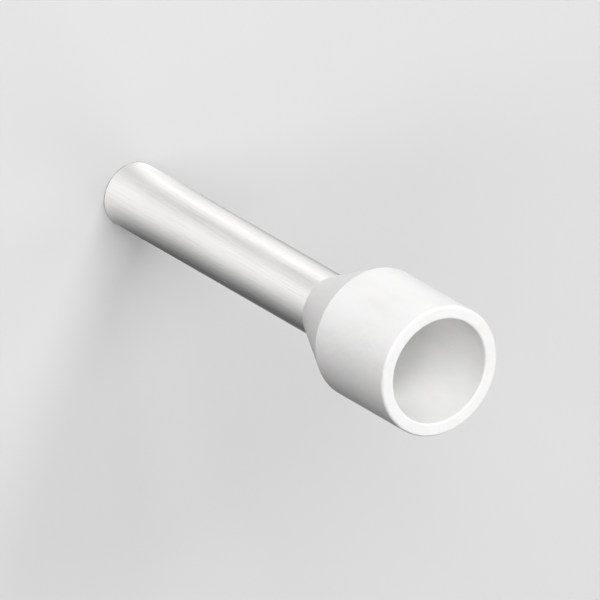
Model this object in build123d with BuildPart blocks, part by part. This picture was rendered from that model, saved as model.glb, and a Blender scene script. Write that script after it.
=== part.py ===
from build123d import *
import math
import os

# Insulated wire-end ferrule for a 1.5 mm2 stranded conductor.
#
# Two separate pieces: a thin drawn metal sleeve whose wire-entry end is flared
# open, and a moulded plastic collar pressed over that end. The sleeve's flare
# lies against a conical seat inside the collar, which is what keeps the two
# together. The collar's wide bore takes the end of the wire's insulation, the
# sleeve takes the bare strands, and the bare sleeve is the pin that goes into
# a terminal.
#
# Frame: millimetres, +Z up. A ferrule laid on its side rolls, so it stands on
# its end: the square-cut tip is on the plane z = 0, the axis is Z and the mouth
# opens upwards. The origin is at the middle of the tip.

# ---------------------------------------------------------------- dimensions
# lengths along the ferrule's own axis, counted from the tip
pin_length = 10.61            # bare sleeve, from the tip to the collar
collar_length = 5.72          # collar, from its small end to the mouth
cone_length = 2.18            # the conical stretch of the collar
total_length = pin_length + collar_length

# metal sleeve
sleeve_outer_diameter = 2.01
sleeve_wall = 0.155            # the usual 0.15, with 0.005 added outside
flare_half_angle = 30.0       # degrees from the axis
flare_lip_diameter = 2.90     # outside, at the open edge of the flare
flare_bend_radius = 0.25      # outside surface of the bend
tip_outer_round = 0.045       # deburred edges at the tip
tip_inner_round = 0.030
lip_round = 0.045             # edges of the flared lip

# plastic collar
collar_outer_diameter = 4.10
collar_bore_diameter = 3.28
collar_small_end_diameter = 2.10
bore_depth = 4.05             # from the mouth to the start of the conical seat
seat_round = 0.40             # where the bore turns into the seat
shoulder_round = 0.10
mouth_outer_round = 0.08
mouth_inner_round = 0.06
small_end_round = 0.02

# ------------------------------------------------------------ derived values
sleeve_r = sleeve_outer_diameter / 2
sleeve_bore_r = sleeve_r - sleeve_wall
flare_lip_r = flare_lip_diameter / 2
collar_r = collar_outer_diameter / 2
collar_bore_r = collar_bore_diameter / 2
small_end_r = collar_small_end_diameter / 2

shoulder_x = pin_length + cone_length
seat_end_x = total_length - bore_depth
cone_half_angle = math.atan2(collar_r - small_end_r, cone_length)

flare = math.radians(flare_half_angle)
# where the neck's straight wall and the conical seat would meet unrounded
bend_outer_x = seat_end_x - (collar_bore_r - sleeve_r) / math.tan(flare)
# the same corner on the sleeve's inside surface, one wall further in
bend_inner_x = bend_outer_x + sleeve_wall * math.tan(flare / 2)
# the lip: its outside edge on the seat, its inside edge square across the wall
lip_outer_x = bend_outer_x + (flare_lip_r - sleeve_r) / math.tan(flare)
lip_inner_x = lip_outer_x + sleeve_wall * math.sin(flare)
lip_inner_r = flare_lip_r - sleeve_wall * math.cos(flare)

# the axis, from the middle of the tip up to the mouth
tip_centre = Vector(0, 0, 0)
along = Vector(0, 0, 1)
ferrule_axis = Axis(tip_centre, along)
# half-section plane: x runs along the ferrule from the tip, y is the radius
half_section = Plane(origin=tip_centre, x_dir=along, z_dir=(0, 1, 0))

# --------------------------------------------------------------- metal sleeve
# One drawn tube, open from end to end, with its wire-entry end bent outwards
# into a flare. The two surfaces of the bend share one centre, so the wall
# keeps its thickness all the way to the lip.
with BuildPart() as metal_sleeve:
    with BuildSketch(half_section) as sleeve_section:
        with BuildLine() as sleeve_outline:
            FilletPolyline(
                (0, sleeve_bore_r),
                (0, sleeve_r),
                (bend_outer_x, sleeve_r),
                (lip_outer_x, flare_lip_r),
                (lip_inner_x, lip_inner_r),
                (bend_inner_x, sleeve_bore_r),
                radius=[
                    tip_inner_round,
                    tip_outer_round,
                    flare_bend_radius,
                    lip_round,
                    lip_round,
                    flare_bend_radius + sleeve_wall,
                ],
                close=True,
            )
        make_face()
    revolve(axis=ferrule_axis)
metal_sleeve.part.label = "metal_sleeve"

# ----------------------------------------------------------- insulating collar
# One moulding: a short cone that starts almost flush with the sleeve, a
# shoulder, and a plain cylinder with a wide open bore. Inside, the bore
# narrows over the conical seat to a neck that grips the sleeve.
with BuildPart() as insulating_collar:
    with BuildSketch(half_section) as collar_section:
        with BuildLine() as collar_outline:
            FilletPolyline(
                (pin_length, sleeve_r),
                (pin_length, small_end_r),
                (shoulder_x, collar_r),
                (total_length, collar_r),
                (total_length, collar_bore_r),
                (seat_end_x, collar_bore_r),
                (bend_outer_x, sleeve_r),
                radius=[
                    0,
                    small_end_round,
                    shoulder_round,
                    mouth_outer_round,
                    mouth_inner_round,
                    seat_round,
                    flare_bend_radius,
                ],
                close=True,
            )
        make_face()
    revolve(axis=ferrule_axis)
insulating_collar.part.label = "insulating_collar"

# ---------------------------------------------------------------------- output
os.makedirs("parts", exist_ok=True)
export_step(metal_sleeve.part, "parts/metal_sleeve.step")
export_step(insulating_collar.part, "parts/insulating_collar.step")

print(f"cone half-angle {math.degrees(cone_half_angle):.2f} deg")
print(f"straight sleeve to x {bend_outer_x - flare_bend_radius * math.tan(flare / 2):.4f}")
for piece in (metal_sleeve.part, insulating_collar.part):
    box = piece.bounding_box()
    print(
        f"{piece.label}: {piece.volume:.4f} mm3, "
        f"x {box.min.X:.3f}..{box.max.X:.3f}, y {box.min.Y:.3f}..{box.max.Y:.3f}, "
        f"z {box.min.Z:.3f}..{box.max.Z:.3f}"
    )
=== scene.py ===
import math

import bpy
import numpy as np
from mathutils import Matrix, Vector


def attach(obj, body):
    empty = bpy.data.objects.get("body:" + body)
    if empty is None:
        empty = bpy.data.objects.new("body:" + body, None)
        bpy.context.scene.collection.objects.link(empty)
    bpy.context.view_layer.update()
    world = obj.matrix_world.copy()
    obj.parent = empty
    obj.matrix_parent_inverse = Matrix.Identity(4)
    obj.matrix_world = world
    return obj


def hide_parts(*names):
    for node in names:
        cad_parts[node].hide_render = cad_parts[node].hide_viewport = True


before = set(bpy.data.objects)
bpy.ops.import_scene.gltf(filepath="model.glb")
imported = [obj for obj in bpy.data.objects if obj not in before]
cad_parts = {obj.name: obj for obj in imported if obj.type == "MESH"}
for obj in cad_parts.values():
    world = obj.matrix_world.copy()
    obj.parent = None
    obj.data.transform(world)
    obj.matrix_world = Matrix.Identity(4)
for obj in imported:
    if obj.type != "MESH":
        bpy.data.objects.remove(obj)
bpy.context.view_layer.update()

scene = bpy.context.scene
MM = 0.001

# ------------------------------------------------------------------ profiles
# Half-sections of the two pieces, in millimetres: height above the tip, radius
# and the rounding of the corner. They run round the section, so the surface is
# on the left of the way they go.
SLEEVE = [
    (0.0, 0.85, 0.030),
    (0.0, 1.005, 0.045),
    (11.18015, 1.005, 0.25),
    (11.95091, 1.45, 0.045),
    (12.02841, 1.315766, 0.045),
    (11.22168, 0.85, 0.405),
]
COLLAR = [
    (10.61, 1.005, 0.0),
    (10.61, 1.05, 0.02),
    (12.79, 2.05, 0.10),
    (16.33, 2.05, 0.08),
    (16.33, 1.64, 0.06),
    (12.28, 1.64, 0.40),
    (11.18015, 1.005, 0.25),
]


def rounded(corners, arc_step, straight_step):
    """The closed section with its corners rounded: (points, outward normals).
    A sharp corner comes out twice, once with each side's normal."""
    pts = [np.array(c[:2], float) for c in corners]
    n = len(pts)
    area = sum(pts[i][0] * pts[(i + 1) % n][1] - pts[(i + 1) % n][0] * pts[i][1] for i in range(n))
    turn = 1.0 if area > 0 else -1.0
    out_p, out_n = [], []

    def normal(d):
        d = d / np.linalg.norm(d)
        return turn * np.array([d[1], -d[0]])

    ends = []
    for i in range(n):
        p, r = pts[i], corners[i][2]
        u = pts[i - 1] - p
        v = pts[(i + 1) % n] - p
        u, v = u / np.linalg.norm(u), v / np.linalg.norm(v)
        if r <= 0:
            ends.append((p, p, None, 0.0, -u, v))
            continue
        angle = math.acos(float(np.clip(u @ v, -1, 1)))
        cut = r / math.tan(angle / 2)
        centre = p + (u + v) / np.linalg.norm(u + v) * (r / math.sin(angle / 2))
        ends.append((p + u * cut, p + v * cut, centre, r, -u, v))
    for i in range(n):
        a, b, centre, r, d_in, d_out = ends[i]
        if centre is None:
            out_p += [a, a]
            out_n += [normal(d_in), normal(d_out)]
        else:
            va, vb = a - centre, b - centre
            sweep = math.atan2(va[0] * vb[1] - va[1] * vb[0], float(va @ vb))
            steps = max(5, int(math.ceil(abs(sweep) * r / arc_step)))
            na, nb = normal(d_in), normal(d_out)
            for k in range(steps + 1):
                t = sweep * k / steps
                rot = np.array([[math.cos(t), -math.sin(t)], [math.sin(t), math.cos(t)]])
                out_p.append(centre + rot @ va)
                out_n.append(rot @ na)
        nxt = ends[(i + 1) % n][0]
        here = out_p[-1]
        run = float(np.linalg.norm(nxt - here))
        steps = max(1, int(math.ceil(run / straight_step)))
        side = normal(nxt - here) if run > 1e-9 else out_n[-1]
        for k in range(1, steps):
            out_p.append(here + (nxt - here) * k / steps)
            out_n.append(side)
    return np.array(out_p), np.array(out_n)


def lathe(name, corners, segments, arc_step, straight_step, shape=None):
    """A body of revolution about Z with its true normals. shape(points, angles)
    may move the points a little."""
    p, nrm = rounded(corners, arc_step, straight_step)
    rings = len(p)
    phi = np.arange(segments) * (2 * math.pi / segments)
    z = np.repeat(p[:, 0], segments)
    r = np.repeat(p[:, 1], segments)
    a = np.tile(phi, rings)
    if shape is not None:
        z, r = shape(z, r, a)
    co = np.stack([r * np.cos(a), r * np.sin(a), z], 1) * MM
    nr = np.repeat(nrm[:, 1], segments)
    nz = np.repeat(nrm[:, 0], segments)
    normals = np.stack([nr * np.cos(a), nr * np.sin(a), nz], 1)
    faces = []
    for i in range(rings):
        j = (i + 1) % rings
        if np.linalg.norm(p[i] - p[j]) < 1e-9:
            continue
        for k in range(segments):
            m = (k + 1) % segments
            faces.append((i * segments + k, i * segments + m, j * segments + m, j * segments + k))
    faces = np.array(faces)
    # the way round that makes the faces look outwards
    f = faces[len(faces) // 3]
    face_n = np.cross(co[f[1]] - co[f[0]], co[f[2]] - co[f[0]])
    if face_n @ normals[f[0]] < 0:
        faces = faces[:, ::-1]
    mesh = bpy.data.meshes.new(name)
    mesh.from_pydata(co.tolist(), [], faces.tolist())
    mesh.polygons.foreach_set("use_smooth", [True] * len(mesh.polygons))
    mesh.update()
    mesh.normals_split_custom_set_from_vertices(normals.tolist())
    obj = bpy.data.objects.new(name, mesh)
    scene.collection.objects.link(obj)
    return obj


# ------------------------------------------------------------------- materials
def material(name):
    m = bpy.data.materials.new(name)
    m.use_nodes = True
    nt = m.node_tree
    nt.nodes.clear()
    out = nt.nodes.new("ShaderNodeOutputMaterial")
    bsdf = nt.nodes.new("ShaderNodeBsdfPrincipled")
    nt.links.new(bsdf.outputs["BSDF"], out.inputs["Surface"])
    return m, nt, bsdf


def mapped(nt, scale):
    """Object coordinates in millimetres times scale."""
    tc = nt.nodes.new("ShaderNodeTexCoord")
    mp = nt.nodes.new("ShaderNodeMapping")
    mp.inputs["Scale"].default_value = tuple(1000.0 * s for s in scale)
    nt.links.new(tc.outputs["Object"], mp.inputs["Vector"])
    return mp.outputs["Vector"]


def noise(nt, vector, scale, detail=3.0, roughness=0.5):
    n = nt.nodes.new("ShaderNodeTexNoise")
    n.inputs["Scale"].default_value = scale
    n.inputs["Detail"].default_value = detail
    n.inputs["Roughness"].default_value = roughness
    nt.links.new(vector, n.inputs["Vector"])
    return n.outputs["Fac"]


def remap(nt, value, lo, hi, to_lo, to_hi):
    n = nt.nodes.new("ShaderNodeMapRange")
    n.clamp = True
    n.inputs["From Min"].default_value = lo
    n.inputs["From Max"].default_value = hi
    n.inputs["To Min"].default_value = to_lo
    n.inputs["To Max"].default_value = to_hi
    nt.links.new(value, n.inputs["Value"])
    return n.outputs["Result"]


def math_node(nt, op, a, b):
    n = nt.nodes.new("ShaderNodeMath")
    n.operation = op
    for i, v in enumerate((a, b)):
        if isinstance(v, (int, float)):
            n.inputs[i].default_value = v
        else:
            nt.links.new(v, n.inputs[i])
    return n.outputs["Value"]


def ramp(nt, value, stops):
    n = nt.nodes.new("ShaderNodeValToRGB")
    e = n.color_ramp.elements
    while len(e) > 1:
        e.remove(e[-1])
    e[0].position, e[0].color = stops[0][0], (*stops[0][1], 1)
    for pos, col in stops[1:]:
        x = e.new(pos)
        x.color = (*col, 1)
    nt.links.new(value, n.inputs["Fac"])
    return n.outputs["Color"]


def bump(nt, height, distance_mm, strength=1.0, before=None):
    n = nt.nodes.new("ShaderNodeBump")
    n.inputs["Strength"].default_value = strength
    n.inputs["Distance"].default_value = distance_mm * MM
    nt.links.new(height, n.inputs["Height"])
    if before is not None:
        nt.links.new(before, n.inputs["Normal"])
    return n.outputs["Normal"]


def tinned_copper():
    """Bright tin over drawn copper: hair-fine lines along the tube from the
    drawing die, a slightly cloudy tin surface, and a few light rubs."""
    m, nt, b = material("tinned_copper")
    lines = noise(nt, mapped(nt, (1.0, 1.0, 0.022)), 26.0, 4.0, 0.60)
    fine = noise(nt, mapped(nt, (1.0, 1.0, 0.012)), 70.0, 2.0, 0.5)
    cloud = noise(nt, mapped(nt, (1.0, 1.0, 0.45)), 0.9, 4.0, 0.5)
    grain = noise(nt, mapped(nt, (1.0, 1.0, 1.0)), 34.0, 3.0, 0.6)
    rubs = remap(nt, noise(nt, mapped(nt, (1.0, 1.0, 0.10)), 9.0, 2.0, 0.4), 0.66, 0.74, 0.0, 1.0)
    tone = math_node(nt, "ADD", math_node(nt, "MULTIPLY", lines, 0.55), math_node(nt, "MULTIPLY", cloud, 0.45))
    col = ramp(nt, tone, [(0.30, (0.745, 0.740, 0.725)), (0.50, (0.825, 0.820, 0.808)), (0.68, (0.880, 0.876, 0.868))])
    nt.links.new(col, b.inputs["Base Color"])
    rough = math_node(nt, "ADD", remap(nt, lines, 0.3, 0.7, -0.03, 0.05), remap(nt, cloud, 0.3, 0.7, 0.13, 0.19))
    rough = math_node(nt, "ADD", rough, math_node(nt, "MULTIPLY", rubs, 0.09))
    # the inside and the flare aren't rubbed bright: the tin is duller there
    xyz = nt.nodes.new("ShaderNodeSeparateXYZ")
    nt.links.new(mapped(nt, (1.0, 1.0, 1.0)), xyz.inputs["Vector"])
    squared = [math_node(nt, "MULTIPLY", xyz.outputs[k], xyz.outputs[k]) for k in ("X", "Y")]
    radius = math_node(nt, "SQRT", math_node(nt, "ADD", *squared), 0.0)
    inside = math_node(nt, "MAXIMUM", remap(nt, radius, 0.90, 0.97, 1.0, 0.0), remap(nt, xyz.outputs["Z"], 11.0, 11.2, 0.0, 1.0))
    rough = math_node(nt, "ADD", rough, math_node(nt, "MULTIPLY", inside, 0.24))
    nt.links.new(remap(nt, inside, 0.0, 1.0, 1.0, 0.70), b.inputs["Metallic"])
    nt.links.new(rough, b.inputs["Roughness"])
    n1 = bump(nt, lines, 0.0012)
    n2 = bump(nt, fine, 0.0005, before=n1)
    n3 = bump(nt, grain, 0.0006, before=n2)
    nt.links.new(n3, b.inputs["Normal"])
    return m


def white_plastic():
    """Moulded polypropylene: satin, faintly cloudy, with the fine texture of
    the mould and a little light passing through its thin wall."""
    m, nt, b = material("white_plastic")
    b.inputs["IOR"].default_value = 1.49
    b.inputs["Subsurface Weight"].default_value = 0.25
    b.inputs["Subsurface Radius"].default_value = (1.0, 0.85, 0.7)
    b.inputs["Subsurface Scale"].default_value = 0.00018
    cloud = noise(nt, mapped(nt, (1.0, 1.0, 0.6)), 0.7, 4.0, 0.55)
    flow = noise(nt, mapped(nt, (1.0, 1.0, 0.25)), 3.2, 3.0, 0.55)
    grain = noise(nt, mapped(nt, (1.0, 1.0, 1.0)), 30.0, 4.0, 0.65)
    orange = noise(nt, mapped(nt, (1.0, 1.0, 1.0)), 6.0, 2.0, 0.5)
    tone = math_node(nt, "ADD", math_node(nt, "MULTIPLY", cloud, 0.6), math_node(nt, "MULTIPLY", flow, 0.4))
    col = ramp(nt, tone, [(0.30, (0.885, 0.883, 0.872)), (0.50, (0.918, 0.918, 0.909)), (0.70, (0.938, 0.938, 0.932))])
    nt.links.new(col, b.inputs["Base Color"])
    rough = math_node(nt, "ADD", remap(nt, grain, 0.3, 0.7, -0.05, 0.05), remap(nt, cloud, 0.3, 0.7, 0.36, 0.46))
    nt.links.new(rough, b.inputs["Roughness"])
    n1 = bump(nt, orange, 0.0120)
    n2 = bump(nt, grain, 0.0040, before=n1)
    nt.links.new(n2, b.inputs["Normal"])
    return m


# ---------------------------------------------------------------------- pieces
sleeve = lathe("sleeve", SLEEVE, 288, 0.009, 0.45)
sleeve.data.materials.append(tinned_copper())
collar = lathe("collar", COLLAR, 288, 0.012, 0.25)
collar.data.materials.append(white_plastic())
for piece, node, slot in (
    (sleeve, "metal_sleeve", "tinned_copper"),
    (collar, "insulating_collar", "white_plastic"),
):
    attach(piece, "root")
    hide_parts(node)
# no bright ring of mirrored lamplight on the floor round the tube's foot
sleeve.visible_diffuse = False

# ----------------------------------------------------------------------- floor
floor_mesh = bpy.data.meshes.new("floor")
half = 2.0
floor_mesh.from_pydata([(-half, -half, 0), (half, -half, 0), (half, half, 0), (-half, half, 0)], [], [(0, 1, 2, 3)])
floor = bpy.data.objects.new("floor", floor_mesh)
scene.collection.objects.link(floor)
fm, fnt, fb = material("floor_paper")
fb.inputs["Base Color"].default_value = (0.76, 0.76, 0.76, 1)
fb.inputs["Roughness"].default_value = 0.9
fb.inputs["Specular IOR Level"].default_value = 0.0
floor.data.materials.append(fm)
# the ferrule is lit by the lamps and not by the floor, as on a clear table,
# and two lamps light it from below that table
floor.visible_diffuse = False
floor.visible_glossy = False
floor.visible_shadow = False

# ---------------------------------------------------------------------- camera
# A parallel view. The ferrule's axis runs towards the camera: it comes out of
# the picture at 50 degrees and shows 30 degrees below the horizontal to the
# right, so for a ferrule that stands upright the camera looks down at 50
# degrees and is rolled by 120.
AZIMUTH = math.radians(45.0)
AXIS_BACK, AXIS_RIGHT, AXIS_UP = 0.765, 0.5577, -0.3220
elevation = math.asin(AXIS_BACK)
back = Vector((math.sin(AZIMUTH) * math.cos(elevation), -math.cos(AZIMUTH) * math.cos(elevation), math.sin(elevation)))
level = Vector((math.cos(AZIMUTH), math.sin(AZIMUTH), 0.0))
steep = back.cross(level)
roll = math.atan2(AXIS_RIGHT, AXIS_UP)
right = (level * math.cos(roll) + steep * math.sin(roll)).normalized()
up = back.cross(right).normalized()


def in_view(r, u, b):
    """A direction given as right, up and towards the camera, in the row frame."""
    return (right * r + up * u + back * b).normalized()


mouth = Vector((0, 0, 16.33)) * MM
aim = mouth - right * (4.132 * MM) + up * (2.115 * MM)
cam_data = bpy.data.cameras.new("camera")
cam_data.type = "ORTHO"
cam_data.ortho_scale = 600 * 0.02958 * MM
cam_data.clip_start = 0.001
cam_data.clip_end = 2.0
camera = bpy.data.objects.new("camera", cam_data)
scene.collection.objects.link(camera)
place = Matrix((right, up, back)).transposed().to_4x4()
place.translation = aim + back * 0.08
camera.matrix_world = place
scene.camera = camera

# ---------------------------------------------------------------------- lights
centre = Vector((0, 0, 9.0)) * MM

# Directions are given by turn and height: 0 degrees is towards the picture's
# top, 90 towards the camera, 180 towards the picture's bottom.
side = right * 0.5 + up * 0.866
side = Vector((side.x, side.y, 0)).normalized()
axis = Vector((0, 0, 1))
front = axis.cross(side)


def towards(turn, height):
    t, h = math.radians(turn), math.radians(height)
    return (side * math.cos(t) + front * math.sin(t)) * math.cos(h) + axis * math.sin(h)


# What a shiny upright tube mirrors is the ground round its foot, so that is
# where its reflector card lies: pale all round, with one dark stretch. Only
# reflections show it.
card_mesh = bpy.data.meshes.new("reflector_card")
ring_out, ring_in, ring_n = 0.6, 0.00102, 96
card_mesh.from_pydata(
    [(r * math.cos(2 * math.pi * k / ring_n), r * math.sin(2 * math.pi * k / ring_n), 0.00001) for r in (ring_in, ring_out) for k in range(ring_n)],
    [],
    [(k, (k + 1) % ring_n, ring_n + (k + 1) % ring_n, ring_n + k) for k in range(ring_n)],
)
card = bpy.data.objects.new("reflector_card", card_mesh)
scene.collection.objects.link(card)
cm = bpy.data.materials.new("reflector_card")
cm.use_nodes = True
cnt = cm.node_tree
cnt.nodes.clear()
c_out = cnt.nodes.new("ShaderNodeOutputMaterial")
c_em = cnt.nodes.new("ShaderNodeEmission")
cnt.links.new(c_em.outputs["Emission"], c_out.inputs["Surface"])
c_tc = cnt.nodes.new("ShaderNodeTexCoord")


def along_axis(axis):
    d = cnt.nodes.new("ShaderNodeVectorMath")
    d.operation = "DOT_PRODUCT"
    d.inputs[1].default_value = tuple(axis)
    cnt.links.new(c_tc.outputs["Object"], d.inputs[0])
    return d.outputs["Value"]


# once round the foot, 0 and 1 towards the picture's top
turn_round = math_node(cnt, "DIVIDE", math_node(cnt, "ARCTAN2", along_axis(-front), along_axis(-side)), 2 * math.pi)
turn_round = math_node(cnt, "FRACT", math_node(cnt, "ADD", turn_round, 0.5), 0.0)
CARD = [  # the turn in degrees and the brightness there
    (0, 1.08), (12, 1.18), (26, 1.05), (40, 0.84), (52, 0.78), (68, 0.88), (90, 1.02), (110, 0.98), (132, 0.80),
    (152, 0.55), (172, 0.34), (192, 0.20), (212, 0.12), (230, 0.12), (246, 0.26), (256, 0.46), (268, 0.32), (286, 0.34),
    (304, 0.52), (322, 0.78), (342, 0.96), (360, 1.08),
]
c_col = ramp(cnt, turn_round, [(a / 360.0, (v, v, v)) for a, v in CARD])
cnt.links.new(c_col, c_em.inputs["Color"])
c_em.inputs["Strength"].default_value = 1.05
card.data.materials.append(cm)
for flag in ("visible_camera", "visible_diffuse", "visible_transmission", "visible_volume_scatter", "visible_shadow"):
    setattr(card, flag, False)

# and a small one under the open tip, for the inside of the tube
disc_mesh = bpy.data.meshes.new("reflector_disc")
disc_mesh.from_pydata([(0.00082 * math.cos(math.pi * k / 24), 0.00082 * math.sin(math.pi * k / 24), 0.00001) for k in range(48)], [], [tuple(range(48))])
disc = bpy.data.objects.new("reflector_disc", disc_mesh)
scene.collection.objects.link(disc)
dm = bpy.data.materials.new("reflector_disc")
dm.use_nodes = True
dm.node_tree.nodes.clear()
d_out = dm.node_tree.nodes.new("ShaderNodeOutputMaterial")
d_em = dm.node_tree.nodes.new("ShaderNodeEmission")
d_em.inputs["Color"].default_value = (1, 1, 1, 1)
d_em.inputs["Strength"].default_value = 0.75
dm.node_tree.links.new(d_em.outputs["Emission"], d_out.inputs["Surface"])
disc.data.materials.append(dm)
for flag in ("visible_camera", "visible_diffuse", "visible_transmission", "visible_volume_scatter", "visible_shadow"):
    setattr(disc, flag, False)


def softbox(name, turn, height, light, distance_mm=420, size_mm=300):
    """A square lamp that faces the ferrule. light is the brightness that it
    gives a white sheet held square to it at the ferrule."""
    d = towards(turn, height)
    data = bpy.data.lights.new(name, "AREA")
    data.shape = "SQUARE"
    data.size = size_mm * MM
    data.energy = light * (math.pi * distance_mm * MM) ** 2
    lamp = bpy.data.objects.new(name, data)
    lamp.location = centre + d * (distance_mm * MM)
    lamp.rotation_mode = "QUATERNION"
    lamp.rotation_quaternion = (-d).to_track_quat("-Z", "Y")
    scene.collection.objects.link(lamp)
    return lamp


softbox("key", 28, 49, 0.42, size_mm=180)
softbox("front", 68, 50, 0.41, size_mm=180)
softbox("fill", 108, 50, 0.26, size_mm=180)
softbox("low", 84, 10, 0.08)
softbox("side", -32, 16, 0.27)
softbox("back", 262, 18, 0.28)
for name, turn, height, light in (("below_front", 84, -50, 0.40), ("below_side", -28, -44, 0.29)):
    softbox(name, turn, height, light).visible_glossy = False

world = bpy.data.worlds.new("studio")
world.use_nodes = True
scene.world = world
bg = world.node_tree.nodes["Background"]
bg.inputs["Color"].default_value = (1, 1, 1, 1)
bg.inputs["Strength"].default_value = 0.10

scene.view_settings.view_transform = "Standard"
scene.view_settings.look = "None"
